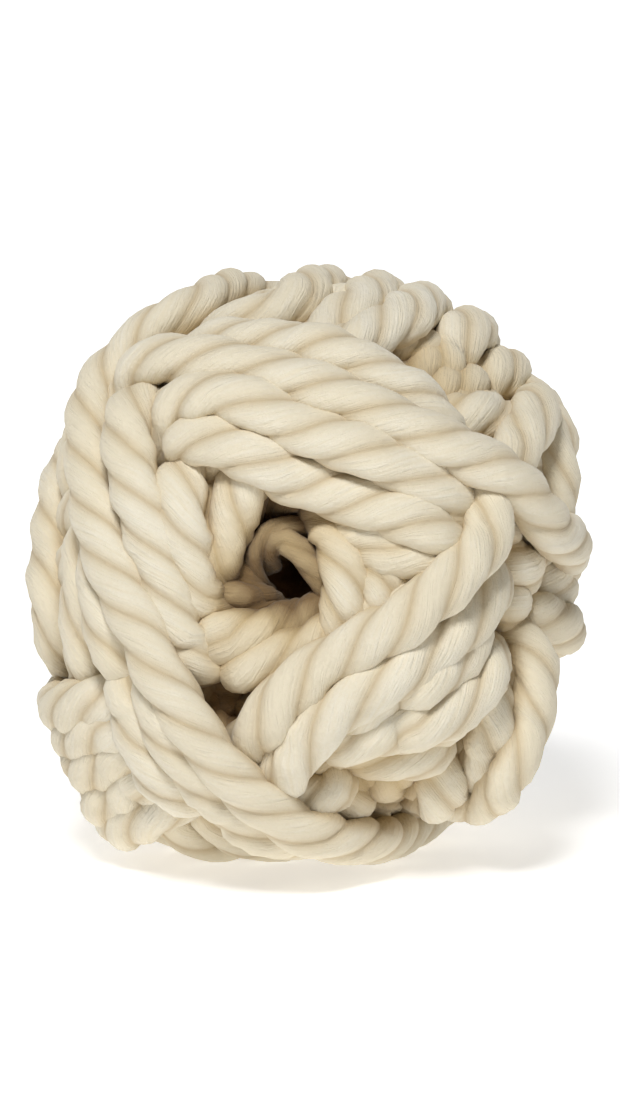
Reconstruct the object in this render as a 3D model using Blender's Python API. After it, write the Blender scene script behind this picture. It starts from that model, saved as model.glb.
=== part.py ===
"""A ball of thick three-ply cotton twine, wound round an open centre eye.

Metres, +Z up. The origin is under the middle of the ball, level with the small flat spot that it rests
on. The eye looks towards -Y and a little up. The ball is one solid: its wound form, with each main turn
of the twine standing up as a ridge, laid over or under the turns it meets.
"""

import math
from collections import namedtuple

import bmesh
import bpy
import numpy as np

# Driving dimensions of the wound form, in metres.
HALF_WIDTH = 0.0488
HALF_DEPTH = 0.0482
HALF_HEIGHT = 0.0540
SQUARENESS = 2.35
EYE_TILT = math.radians(10)

# Where the form bulges: a direction right, back and up, how wide in degrees, and how far.
Bulge = namedtuple("Bulge", "direction width height")
BULGES = (
    Bulge(direction=(-0.70, 0.0, -0.78), width=26, height=0.0045),
    Bulge(direction=(0.88, 0.0, 0.47), width=20, height=0.0020),
    Bulge(direction=(0.40, 0.0, 0.92), width=24, height=0.0030),
    Bulge(direction=(-0.97, 0.0, -0.24), width=16, height=0.0015),
)

# The flat spot: how far it lies below the ball's middle, how much twine is pressed away, and its radius.
FLAT_DROP = 0.0525
FLAT_SQUASH = 0.0014
FLAT_RADIUS = 0.0150
STEEPEST_PRESS = 0.5

# The twine, as it lies pressed in the ball.
CORD_RADIUS = 0.0041
LAYER_STEP = 0.0060
CONTACT_WIDTH = 0.0070
POINT_STEP = 0.0022
GROOVE_SINK = 0.0060

# The eye, measured from its own middle: how deep the form sinks at each distance from it.
EYE_MIDDLE = (-0.0030, -0.0015)
EYE_DISTANCES = (0.0, 0.0080, 0.0120, 0.0160, 0.0210, 0.0270, 0.0340)
EYE_DEPTHS = (0.0320, 0.0300, 0.0210, 0.0110, 0.0050, 0.0015, 0.0)

# Bands of turns that lie side by side, each band about its own axis, in degrees: the axis leans away
# from the eye's axis by the lean, towards the heading (0 is right, 90 is up, seen from the front).
# The first three go round the flanks like turns on a spool, and the rest slant across the ball.
Band = namedtuple("Band", "first_latitude last_latitude lean heading")
BANDS = (
    Band(first_latitude=-64, last_latitude=-22, lean=7, heading=40),
    Band(first_latitude=79, last_latitude=22, lean=9, heading=200),
    Band(first_latitude=-15, last_latitude=15, lean=5, heading=120),
    Band(first_latitude=-10, last_latitude=16, lean=50, heading=15),
    Band(first_latitude=-16, last_latitude=10, lean=48, heading=160),
    Band(first_latitude=-8, last_latitude=18, lean=52, heading=85),
    Band(first_latitude=-14, last_latitude=12, lean=50, heading=235),
    Band(first_latitude=-12, last_latitude=14, lean=54, heading=310),
)
LATITUDE_STEP = 8.2

# Main turns in the order they are laid. Each goes once round the ball through three places on its
# front, given as shares of the half width, right of and above the middle.
Turn = namedtuple("Turn", "name enters crosses leaves")
MAIN_TURNS = (
    Turn("top_outer", (-0.45, 0.92), (0.10, 0.86), (0.70, 0.72)),
    Turn("top_inner", (-0.50, 0.83), (0.10, 0.78), (0.76, 0.55)),
    Turn("right_low", (0.70, -0.20), (0.62, -0.58), (0.40, -0.88)),
    Turn("eye_left", (-0.29, 0.42), (-0.32, 0.02), (-0.30, -0.30)),
    Turn("eye_below", (0.36, -0.03), (-0.05, -0.22), (-0.52, -0.30)),
    Turn("left_third", (-0.50, 0.46), (-0.44, 0.02), (-0.43, -0.30)),
    Turn("bridge_fourth", (-0.20, 0.38), (0.20, 0.12), (0.80, -0.06)),
    Turn("bridge_third", (-0.47, 0.50), (0.10, 0.28), (0.82, 0.06)),
    Turn("bridge_second", (-0.56, 0.60), (0.05, 0.49), (0.88, 0.12)),
    Turn("low_fifth", (0.55, -0.60), (0.20, -0.72), (-0.45, -0.86)),
    Turn("low_fourth", (0.70, -0.16), (0.40, -0.46), (-0.25, -0.80)),
    Turn("low_third", (0.62, -0.02), (0.15, -0.45), (-0.12, -0.82)),
    Turn("left_second", (-0.66, 0.62), (-0.60, 0.15), (-0.47, -0.28)),
    Turn("low_second", (0.67, 0.27), (0.30, -0.20), (-0.28, -0.65)),
    Turn("bridge_first", (-0.72, 0.70), (0.00, 0.68), (0.90, 0.10)),
    Turn("left_first", (-0.45, 0.98), (-0.68, -0.10), (0.10, -1.00)),
)

# How the turns settle against each other.
SETTLING_ROUNDS = 90
PULL_HOME = 0.06
TENSION = 0.22
RISE_SHARE = 0.3
HIGHEST_RISE = 0.0016

# The mesh.
SPHERE_SUBDIVISIONS = 7
KEPT_FACES = 8200
LOOKUP_BLOCK = 4096

COTTON = (0.80, 0.72, 0.56, 1.0)
COTTON_ROUGHNESS = 0.95


def clear_scene():
    for thing in list(bpy.data.objects):
        bpy.data.objects.remove(thing, do_unlink=True)


def unit(vectors):
    return vectors / np.linalg.norm(vectors, axis=-1, keepdims=True)


def tilted(places):
    """Turns places about X so that the eye looks up by its tilt."""
    turned = places.copy()
    turned[..., 1] = places[..., 1] * math.cos(EYE_TILT) + places[..., 2] * math.sin(EYE_TILT)
    turned[..., 2] = places[..., 2] * math.cos(EYE_TILT) - places[..., 1] * math.sin(EYE_TILT)
    return turned


def floor_radius(directions):
    """How far each direction runs to the level that the twine is pressed to by the floor."""
    downward = -tilted(directions)[..., 2]
    return (FLAT_DROP + FLAT_SQUASH) / np.maximum(downward, STEEPEST_PRESS)


def form_radius(directions):
    """The plain wound form: a squarish ellipsoid pressed flat below, before the eye sinks into it."""
    half_sizes = np.array((HALF_WIDTH, HALF_DEPTH, HALF_HEIGHT))
    shares = np.abs(directions) / half_sizes
    free = (shares ** SQUARENESS).sum(axis=-1) ** (-1 / SQUARENESS)
    for bulge in BULGES:
        nearness = np.clip(directions @ unit(np.array(bulge.direction)), -1, 1)
        away = np.degrees(np.arccos(nearness))
        free = free + bulge.height * np.exp(-(away / bulge.width) ** 2)
    return np.minimum(free, floor_radius(directions))


def eye_sink(directions):
    """How far the eye pulls the form in, for directions on the front."""
    places = directions * form_radius(directions)[..., None]
    distance = np.hypot(places[..., 0] - EYE_MIDDLE[0], places[..., 2] - EYE_MIDDLE[1])
    sink = np.interp(distance, EYE_DISTANCES, EYE_DEPTHS)
    return np.where(places[..., 1] < 0, sink, 0.0)


def front_direction(place):
    """The direction from the ball's middle to a place on its front."""
    across, up = place[0] * HALF_WIDTH, place[1] * HALF_WIDTH
    reach_across = abs(across / HALF_WIDTH) ** SQUARENESS
    reach_up = abs(up / HALF_HEIGHT) ** SQUARENESS
    left_over = max(1 - reach_across - reach_up, 0.0)
    depth = HALF_DEPTH * left_over ** (1 / SQUARENESS)
    return unit(np.array((across, -depth, up)))


def circle_round(axis, offset):
    """Directions, a point step apart, where a plane at that offset along its axis cuts a unit ball."""
    helper = np.array((1.0, 0.0, 0.0)) if abs(axis[0]) < 0.7 else np.array((0.0, 0.0, 1.0))
    first = unit(np.cross(axis, helper))
    second = np.cross(axis, first)
    reach = math.sqrt(1 - offset * offset)
    count = round(2 * math.pi * reach * HALF_WIDTH / POINT_STEP)
    angles = np.linspace(0, 2 * math.pi, count, endpoint=False)[:, None]
    return offset * axis + reach * (np.cos(angles) * first + np.sin(angles) * second)


def main_turn(turn):
    enters, crosses, leaves = (front_direction(place) for place in turn[1:])
    axis = unit(np.cross(crosses - enters, leaves - enters))
    return circle_round(axis, float(axis @ enters))


def band_turns(band):
    lean, heading = math.radians(band.lean), math.radians(band.heading)
    axis = np.array((math.sin(lean) * math.cos(heading), math.cos(lean), math.sin(lean) * math.sin(heading)))
    span = band.last_latitude - band.first_latitude
    count = round(abs(span) / LATITUDE_STEP) + 1
    latitudes = np.radians(np.linspace(band.first_latitude, band.last_latitude, count))
    return [circle_round(axis, math.sin(latitude)) for latitude in latitudes]


def contacts(directions, order):
    """Pairs of points that press on each other, later over earlier, with the height between them."""
    closest = math.cos(CONTACT_WIDTH / HALF_WIDTH)
    over, under, lift = [], [], []
    for start in range(0, len(directions), LOOKUP_BLOCK):
        dots = directions[start:start + LOOKUP_BLOCK] @ directions.T
        row, column = np.nonzero(dots > closest)
        later = order[row + start] > order[column]
        row, column = row[later], column[later]
        sideways = np.arccos(np.clip(dots[row, column], -1, 1)) * HALF_WIDTH
        over.append(row + start)
        under.append(column)
        lift.append(LAYER_STEP * np.sqrt(np.clip(1 - (sideways / CONTACT_WIDTH) ** 2, 0, 1)))
    return np.concatenate(over), np.concatenate(under), np.concatenate(lift)


def settle(turns, home):
    """Heights of every point once each turn lies over the earlier ones that it crosses."""
    order = np.concatenate([np.full(len(turn), number) for number, turn in enumerate(turns)])
    over, under, lift = contacts(np.concatenate(turns), order)
    ends = np.cumsum([len(turn) for turn in turns])
    starts = ends - [len(turn) for turn in turns]
    heights = home.copy()
    for _ in range(SETTLING_ROUNDS):
        heights += PULL_HOME * (home - heights)
        for start, end in zip(starts, ends):
            turn = heights[start:end]
            heights[start:end] += TENSION * (np.roll(turn, 1) + np.roll(turn, -1) - 2 * turn)
        press = np.maximum(heights[under] + lift - heights[over], 0)
        rise, fall = np.zeros_like(heights), np.zeros_like(heights)
        np.maximum.at(rise, over, press * RISE_SHARE)
        np.maximum.at(fall, under, press * (1 - RISE_SHARE))
        heights = np.minimum(heights + rise - fall, home + HIGHEST_RISE)
    return heights


def ridge_radius(directions, points, heights):
    """The ball's surface: the highest ridge of twine over each direction, or the form between ridges."""
    surface = form_radius(directions) - eye_sink(directions) - CORD_RADIUS - GROOVE_SINK
    for start in range(0, len(directions), LOOKUP_BLOCK):
        dots = directions[start:start + LOOKUP_BLOCK] @ points.T
        sideways_squared = (2 - 2 * dots) * heights ** 2
        crown = heights + np.sqrt(np.clip(CORD_RADIUS ** 2 - sideways_squared, 0, None))
        crown[sideways_squared > CORD_RADIUS ** 2] = 0
        block = slice(start, start + LOOKUP_BLOCK)
        surface[block] = np.maximum(surface[block], crown.max(axis=1))
    landing = tilted(directions * floor_radius(directions)[:, None])
    on_flat_spot = (landing[:, 2] < -FLAT_DROP) & (np.hypot(landing[:, 0], landing[:, 1]) < FLAT_RADIUS)
    surface[on_flat_spot] = floor_radius(directions)[on_flat_spot]
    return surface


def cotton_material():
    material = bpy.data.materials.new("natural_cotton")
    material.use_nodes = True
    shader = material.node_tree.nodes["Principled BSDF"]
    shader.inputs["Base Color"].default_value = COTTON
    shader.inputs["Roughness"].default_value = COTTON_ROUGHNESS
    shader.inputs["Metallic"].default_value = 0.0
    return material


def wound_mesh():
    turns = [turn for band in BANDS for turn in band_turns(band)]
    turns += [main_turn(turn) for turn in MAIN_TURNS]
    points = np.concatenate(turns)
    home = form_radius(points) - eye_sink(points) - CORD_RADIUS
    heights = settle(turns, home)
    sphere = bmesh.new()
    bmesh.ops.create_icosphere(sphere, subdivisions=SPHERE_SUBDIVISIONS, radius=1.0)
    mesh = bpy.data.meshes.new("ball")
    sphere.to_mesh(mesh)
    sphere.free()
    places = np.empty(len(mesh.vertices) * 3)
    mesh.vertices.foreach_get("co", places)
    directions = unit(places.reshape(-1, 3))
    places = tilted(directions * ridge_radius(directions, points, heights)[:, None])
    places[:, :2] -= (places[:, :2].min(axis=0) + places[:, :2].max(axis=0)) / 2
    places[:, 2] += FLAT_DROP
    mesh.vertices.foreach_set("co", places.ravel())
    mesh.update()
    return mesh


def floor_cutter():
    """A block whose top cuts the flat spot that the ball rests on."""
    side = 4 * HALF_WIDTH
    block = bmesh.new()
    bmesh.ops.create_cube(block, size=side)
    mesh = bpy.data.meshes.new("floor_cutter")
    block.to_mesh(mesh)
    block.free()
    cutter = bpy.data.objects.new("floor_cutter", mesh)
    cutter.location = (0, 0, -side / 2)
    cutter.hide_render = True
    cutter.display_type = "WIRE"
    bpy.context.scene.collection.objects.link(cutter)
    return cutter


def make_ball():
    mesh = wound_mesh()
    mesh.materials.append(cotton_material())
    mesh.shade_smooth()
    ball = bpy.data.objects.new("ball", mesh)
    bpy.context.scene.collection.objects.link(ball)
    thin = ball.modifiers.new("fewer_faces", "DECIMATE")
    thin.ratio = KEPT_FACES / len(mesh.polygons)
    thin.use_collapse_triangulate = True
    flat = ball.modifiers.new("flat_spot", "BOOLEAN")
    flat.operation = "DIFFERENCE"
    flat.object = floor_cutter()
    return ball


clear_scene()
make_ball()
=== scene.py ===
"""Ball of cotton twine: every visible turn of the soft three-ply twine, wound round an open centre eye.

Laid out as a Blender add-on, and run as a script. The ball's own frame has its middle at the origin,
the eye towards -Y and +Z up. A finished piece is turned by the eye's tilt and set on the flat spot.
"""
import math
from collections import namedtuple

import bpy
import numpy as np
from bpy.props import FloatProperty, FloatVectorProperty, IntProperty, PointerProperty
from mathutils import Matrix, Vector


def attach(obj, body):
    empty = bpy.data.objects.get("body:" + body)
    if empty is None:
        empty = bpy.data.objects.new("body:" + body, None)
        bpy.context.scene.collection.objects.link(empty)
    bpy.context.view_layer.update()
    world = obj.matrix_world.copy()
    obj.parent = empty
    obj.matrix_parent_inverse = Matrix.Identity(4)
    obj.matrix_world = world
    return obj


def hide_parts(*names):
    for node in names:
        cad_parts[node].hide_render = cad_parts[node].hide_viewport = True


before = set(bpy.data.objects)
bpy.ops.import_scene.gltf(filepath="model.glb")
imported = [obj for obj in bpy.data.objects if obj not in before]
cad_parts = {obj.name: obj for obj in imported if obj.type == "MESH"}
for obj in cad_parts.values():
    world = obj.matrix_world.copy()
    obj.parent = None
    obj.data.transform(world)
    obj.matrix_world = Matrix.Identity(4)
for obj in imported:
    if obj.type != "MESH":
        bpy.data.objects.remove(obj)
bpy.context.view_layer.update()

bl_info = {
    "name": "Twine ball",
    "version": (1, 0, 0),
    "blender": (4, 5, 0),
    "location": "View3D > Sidebar > Twine",
    "description": "Winds a ball of thick three-ply cotton twine round an open centre eye",
    "category": "Add Mesh",
}

NODE = "ball"
BODY = "root"
MM = 0.001

# ---------------------------------------------------------------------------------------------------
# Turns of the twine
# ---------------------------------------------------------------------------------------------------

# A band holds turns that lie side by side about its own axis, in degrees. The axis leans away from the
# eye's axis by the lean, towards the heading (0 is right, 90 is up, seen from the front).
Band = namedtuple("Band", "piece first_latitude last_latitude lean heading")
BANDS = (
    Band("flank_turns_front", -62, -20, 6, 40),
    Band("flank_turns_back", 82, 39, 8, 200),
    Band("flank_turns_middle", -13, 29, 5, 120),
    Band("slanting_turns_right", -10, 16, 50, 15),
    Band("slanting_turns_left", -16, 10, 48, 160),
    Band("slanting_turns_top", -8, 18, 52, 85),
)
LATITUDE_STEP = 8.2

# A turn's front is a list of places that its middle line passes, seen from the front, in units of 50 mm
# right of and above the ball's middle. A place past the rim lies round the back. A whole turn goes on
# round the back. The others go straight on for so many degrees past each end, and then dive under their
# neighbours. The sink below the outer layer is in millimetres. The turns are in the order in which they
# were laid.
PLACE_UNIT = 0.050
Turn = namedtuple("Turn", "piece sink ends front")
WHOLE = None
FRONT_TURNS = (
    Turn("low_left_turns", 1.5, (5, 5), (
        (-0.80, -0.30), (-0.72, -0.38), (-0.62, -0.45), (-0.5, -0.5))),
    Turn("right_flank_turns", 0.5, (4, 15), (
        (0.80, -0.10), (0.785, -0.25), (0.765, -0.38), (0.74, -0.5), (0.71, -0.62), (0.665, -0.74),
        (0.61, -0.83), (0.57, -0.92), (0.53, -1.0))),
    Turn("right_flank_turns", 0.5, (4, 15), (
        (0.61, -0.36), (0.60, -0.5), (0.585, -0.62), (0.56, -0.74), (0.53, -0.84), (0.49, -0.91),
        (0.46, -0.99), (0.43, -1.06))),
    Turn("right_flank_turns", 0.5, (4, 15), (
        (0.46, -0.5), (0.425, -0.65), (0.39, -0.78), (0.36, -0.88), (0.335, -0.95), (0.315, -1.03),
        (0.295, -1.1))),
    Turn("right_flank_turns", 1.5, (3, 15), (
        (0.29, -0.62), (0.26, -0.75), (0.235, -0.86), (0.215, -0.95), (0.2, -1.03), (0.185, -1.1))),
    Turn("right_flank_turns", 2.0, (3, 10), (
        (-0.02, -0.72), (0.05, -0.81), (0.12, -0.89), (0.19, -0.97), (0.25, -1.05))),
    Turn("top_turns", 2.0, (4, 15), (
        (-0.60, 0.84), (-0.48, 0.885), (-0.36, 0.91), (-0.24, 0.915), (-0.13, 0.935), (-0.04, 0.975),
        (0.05, 1.02), (0.13, 1.08))),
    Turn("top_turns", 3.5, (4, 15), (
        (-0.06, 0.81), (0.03, 0.86), (0.12, 0.91), (0.20, 0.955), (0.28, 1.0), (0.36, 1.05))),
    Turn("top_turns", 3.5, (4, 15), (
        (0.06, 0.77), (0.16, 0.82), (0.26, 0.87), (0.36, 0.92), (0.45, 0.97), (0.53, 1.02))),
    Turn("top_turns", 3.0, (5, 15), (
        (0.22, 0.71), (0.32, 0.755), (0.43, 0.80), (0.53, 0.835), (0.63, 0.875), (0.72, 0.91))),
    Turn("top_turns", 1.5, (6, 15), (
        (0.36, 0.66), (0.44, 0.71), (0.53, 0.745), (0.62, 0.76), (0.71, 0.755), (0.80, 0.745), (0.88, 0.74))),
    Turn("top_turns", 4.0, (4, 12), (
        (0.50, 0.62), (0.58, 0.63), (0.66, 0.63), (0.73, 0.60), (0.78, 0.55))),
    Turn("top_turns", 6.0, (4, 12), (
        (0.50, 0.54), (0.58, 0.55), (0.66, 0.54), (0.73, 0.51))),
    Turn("top_turns", 0.0, (10, 3), (
        (-0.62, 0.74), (-0.52, 0.825), (-0.4, 0.855), (-0.25, 0.85), (-0.1, 0.83), (0.02, 0.80), (0.15, 0.765),
        (0.28, 0.715), (0.38, 0.665), (0.46, 0.615), (0.53, 0.55))),
    Turn("low_turns", 2.5, (5, 5), (
        (0.45, -0.74), (0.32, -0.77), (0.18, -0.78), (0.05, -0.78), (-0.08, -0.79), (-0.2, -0.83))),
    Turn("low_turns", 0.8, (3, 5), (
        (0.645, -0.36), (0.64, -0.47), (0.61, -0.56), (0.55, -0.62), (0.45, -0.66), (0.33, -0.69), (0.2, -0.705),
        (0.08, -0.72), (-0.05, -0.755), (-0.2, -0.82))),
    Turn("low_turns", 4.0, (3, 5), (
        (0.66, -0.38), (0.58, -0.46), (0.48, -0.53), (0.38, -0.57), (0.27, -0.615), (0.15, -0.66))),
    Turn("low_turns", 0.5, (6, 5), (
        (0.83, -0.04), (0.78, -0.12), (0.725, -0.20), (0.66, -0.285), (0.58, -0.36), (0.5, -0.415), (0.4, -0.465),
        (0.3, -0.515), (0.2, -0.57), (0.1, -0.63), (-0.03, -0.71), (-0.15, -0.79))),
    Turn("left_turns", 3.5, (3, 3), (
        (-0.21, 0.40), (-0.25, 0.27), (-0.295, 0.15), (-0.345, 0.05), (-0.41, -0.05))),
    Turn("left_turns", 2.0, (4, 4), (
        (-0.57, 0.62), (-0.53, 0.48), (-0.49, 0.3), (-0.465, 0.15), (-0.445, 0.0), (-0.43, -0.12),
        (-0.41, -0.25), (-0.36, -0.42))),
    Turn("low_turns", 2.0, (3, 3), (
        (0.55, 0.02), (0.4, -0.06), (0.25, -0.12), (0.1, -0.17), (-0.05, -0.22), (-0.25, -0.26),
        (-0.42, -0.27), (-0.55, -0.30))),
    Turn("low_turns", 1.5, (3, 3), (
        (0.55, -0.06), (0.4, -0.13), (0.25, -0.2), (0.1, -0.27), (-0.08, -0.34), (-0.25, -0.40),
        (-0.42, -0.45), (-0.55, -0.52))),
    Turn("bridge_turns", 2.5, (2, 10), (
        (0.08, 0.19), (0.2, 0.13), (0.3, 0.075),
        (0.42, 0.035), (0.55, -0.03), (0.66, -0.1))),
    Turn("bridge_turns", -0.5, (2, 15), (
        (-0.66, 0.50), (-0.58, 0.53), (-0.48, 0.52), (-0.35, 0.48), (-0.2, 0.41), (-0.05, 0.335),
        (0.1, 0.28), (0.25, 0.235), (0.4, 0.18), (0.5, 0.13), (0.6, 0.06), (0.7, -0.01), (0.79, -0.08),
        (0.86, -0.15), (0.93, -0.22), (1.0, -0.28))),
    Turn("bridge_turns", -1.0, (2, 15), (
        (-0.72, 0.44), (-0.65, 0.54), (-0.57, 0.61), (-0.48, 0.65), (-0.38, 0.655), (-0.28, 0.64),
        (-0.15, 0.575), (0.0, 0.50), (0.2, 0.43), (0.35, 0.375), (0.5, 0.31), (0.62, 0.24),
        (0.74, 0.15), (0.82, 0.08), (0.89, 0.01), (0.96, -0.06), (1.03, -0.13))),
    Turn("low_turns", 3.0, (4, 5), (
        (0.70, -0.06), (0.62, -0.16), (0.54, -0.235), (0.44, -0.305), (0.335, -0.37), (0.24, -0.42),
        (0.15, -0.47), (0.06, -0.54), (-0.02, -0.63), (-0.08, -0.72), (-0.13, -0.82), (-0.18, -0.92))),
    Turn("left_turns", 0.0, (10, 5), (
        (-0.58, 0.82), (-0.635, 0.70), (-0.655, 0.58), (-0.657, 0.45), (-0.645, 0.33), (-0.61, 0.17),
        (-0.575, 0.03), (-0.545, -0.11), (-0.515, -0.25), (-0.485, -0.36))),
    Turn("low_turns", 0.0, (15, 10), (
        (0.87, 0.73), (0.84, 0.63), (0.80, 0.52), (0.755, 0.41), (0.70, 0.30), (0.665, 0.20), (0.63, 0.10),
        (0.56, 0.01), (0.45, -0.09), (0.35, -0.175), (0.25, -0.24), (0.14, -0.305), (0.02, -0.38),
        (-0.08, -0.47), (-0.16, -0.58), (-0.23, -0.70), (-0.3, -0.83))),
    Turn("top_turns", 0.0, (3, 15), (
        (0.93, 0.12), (0.93, 0.2), (0.915, 0.33), (0.90, 0.45), (0.89, 0.56), (0.87, 0.68),
        (0.86, 0.80))),
    Turn("bridge_turns", -1.0, WHOLE, (
        (-0.86, 0.38), (-0.82, 0.48), (-0.77, 0.60), (-0.70, 0.70), (-0.6, 0.765), (-0.45, 0.78),
        (-0.3, 0.765), (-0.15, 0.73), (0.0, 0.685), (0.15, 0.625), (0.3, 0.555), (0.45, 0.48),
        (0.6, 0.40), (0.72, 0.32), (0.82, 0.23), (0.90, 0.14), (0.97, 0.04))),
    Turn("left_flank_turns", 0.0, (38, 5), (
        (-0.92, 0.52), (-0.925, 0.40), (-0.925, 0.27), (-0.93, 0.1), (-0.94, -0.1), (-0.95, -0.25),
        (-0.95, -0.38), (-0.935, -0.48), (-0.915, -0.57))),
    Turn("left_flank_turns", 1.0, (5, 5), (
        (-0.84, 0.26), (-0.855, 0.0), (-0.865, -0.2), (-0.865, -0.36), (-0.86, -0.46), (-0.85, -0.54))),
    Turn("right_flank_turns", -1.5, (2, 12), (
        (0.885, -0.36), (0.86, -0.45), (0.82, -0.56), (0.76, -0.66), (0.70, -0.76), (0.645, -0.85))),
    Turn("low_left_turns", -3.0, (12, 3), (
        (-1.03, -0.54), (-0.96, -0.54), (-0.88, -0.545), (-0.80, -0.555), (-0.72, -0.585))),
    Turn("low_left_turns", -3.0, (12, 3), (
        (-1.0, -0.65), (-0.93, -0.65), (-0.84, -0.66), (-0.76, -0.675), (-0.67, -0.70), (-0.59, -0.72))),
    Turn("low_left_turns", -3.0, (12, 3), (
        (-0.96, -0.765), (-0.88, -0.765), (-0.79, -0.77), (-0.71, -0.785), (-0.62, -0.795), (-0.54, -0.79))),
    Turn("low_left_turns", -3.0, (12, 3), (
        (-0.90, -0.875), (-0.81, -0.875), (-0.71, -0.885), (-0.62, -0.90), (-0.52, -0.90), (-0.42, -0.875))),
    Turn("low_left_turns", -3.5, (10, 8), (
        (-0.76, -0.965), (-0.66, -0.975), (-0.56, -0.99), (-0.45, -1.0), (-0.34, -1.005), (-0.22, -1.0),
        (-0.10, -0.995))),
    Turn("left_turns", 1.5, (3, 8), (
        (-0.78, 0.15), (-0.77, 0.0), (-0.75, -0.15), (-0.72, -0.30), (-0.68, -0.45), (-0.61, -0.62),
        (-0.53, -0.76))),
    Turn("left_turns", -0.5, (3, 15), (
        (-0.60, -0.45), (-0.555, -0.57), (-0.48, -0.69), (-0.40, -0.79), (-0.31, -0.87), (-0.20, -0.94),
        (-0.09, -0.99))),
    Turn("left_turns", -1.0, WHOLE, (
        (-0.30, 1.04), (-0.40, 0.985), (-0.50, 0.925), (-0.60, 0.855), (-0.68, 0.78), (-0.74, 0.70),
        (-0.785, 0.61), (-0.805, 0.52), (-0.815, 0.42), (-0.81, 0.30), (-0.79, 0.18), (-0.75, 0.05),
        (-0.69, -0.1), (-0.62, -0.24), (-0.555, -0.38), (-0.47, -0.52), (-0.38, -0.66), (-0.27, -0.78),
        (-0.14, -0.88), (0.0, -0.955), (0.13, -1.01))),
)

# Short stretches deep in the eye: places right, up and, in millimetres, below the wound form.
EyeTurn = namedtuple("EyeTurn", "thickness route")
EYE_PIECE = "eye_turns"
EYE_TURNS = (
    EyeTurn(0.90, ((0.04, 0.27, 15), (0.09, 0.12, 12), (0.115, 0.0, 10.5), (0.125, -0.12, 10), (0.13, -0.28, 11))),
    EyeTurn(0.90, ((0.17, 0.20, 13), (0.25, 0.08, 11.5), (0.295, -0.03, 10), (0.28, -0.15, 10), (0.2, -0.30, 12))),
    EyeTurn(0.36, ((-0.17, -0.12, 22), (-0.165, -0.04, 17), (-0.16, 0.03, 14), (-0.14, 0.085, 13), (-0.10, 0.12, 12.5),
                   (-0.05, 0.13, 13), (-0.01, 0.12, 15), (0.01, 0.08, 18))),
    EyeTurn(0.50, ((-0.11, 0.01, 20), (-0.09, 0.045, 15), (-0.055, 0.06, 12.5), (-0.02, 0.03, 12.5), (0.02, -0.015, 13),
                   (0.06, -0.07, 14), (0.10, -0.16, 15))),
    EyeTurn(0.75, ((-0.46, 0.03, 16), (-0.38, -0.06, 15), (-0.30, -0.12, 14.5), (-0.22, -0.18, 17),
                   (-0.14, -0.26, 20))),
    EyeTurn(0.65, ((-0.38, 0.08, 18), (-0.30, 0.0, 16), (-0.24, -0.07, 16), (-0.19, -0.14, 18), (-0.16, -0.22, 22))),
    EyeTurn(0.85, ((0.14, 0.10, 16), (0.26, 0.0, 12), (0.38, -0.04, 10), (0.52, -0.04, 10))),
)

# Where the form bulges: a direction right, back and up, how wide in degrees, and how far in millimetres.
BULGES = (((-0.70, 0.0, -0.78), 26, 4.5), ((0.88, 0.0, 0.47), 20, 2.0), ((0.40, 0.0, 0.92), 24, 3.0),
          ((-0.97, 0.0, -0.24), 16, 1.5))

# How deep the form sinks at each distance from the middle of the eye, in millimetres.
EYE_MIDDLE = (-4.5, 0.0)
EYE_DISTANCES = (0.0, 6.5, 9.5, 12.5, 17.0, 23.0, 30.0)
EYE_DEPTHS = (32.0, 29.0, 18.0, 9.5, 5.0, 1.8, 0.0)


class TwineBallSizes(bpy.types.PropertyGroup):
    """Sizes of the ball and of the twine in it."""
    half_width: FloatProperty(name="Half width", description="Half of the ball's width", default=0.0488,
                              unit="LENGTH")
    half_depth: FloatProperty(name="Half depth", description="Half of the ball's depth, from the eye to the back",
                              default=0.0482, unit="LENGTH")
    half_height: FloatProperty(name="Half height", description="From the ball's middle to its top", default=0.054,
                               unit="LENGTH")
    squareness: FloatProperty(name="Squareness", description="2 is an ellipsoid, and more is squarer", default=2.35)
    eye_tilt: FloatProperty(name="Eye tilt", description="How far up the eye looks", default=math.radians(10),
                            subtype="ANGLE")
    flat_drop: FloatProperty(name="Flat spot", description="From the ball's middle down to its flat spot",
                             default=0.0525, unit="LENGTH")
    squash: FloatProperty(name="Flat squash", description="How much twine the floor presses away", default=0.0014,
                          unit="LENGTH")
    twine_radius: FloatProperty(name="Twine radius", description="Half of the twine's thickness", default=0.0046,
                                unit="LENGTH")
    lay: FloatProperty(name="Lay", description="Length of twine in which its plies go once round", default=0.030,
                       unit="LENGTH")
    ring_step: FloatProperty(name="Ring step", description="Distance between the mesh's rings along the twine",
                             default=0.0015, unit="LENGTH")
    seed: IntProperty(name="Seed", description="Start of the random twist and plumpness of the turns", default=11)


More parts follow.
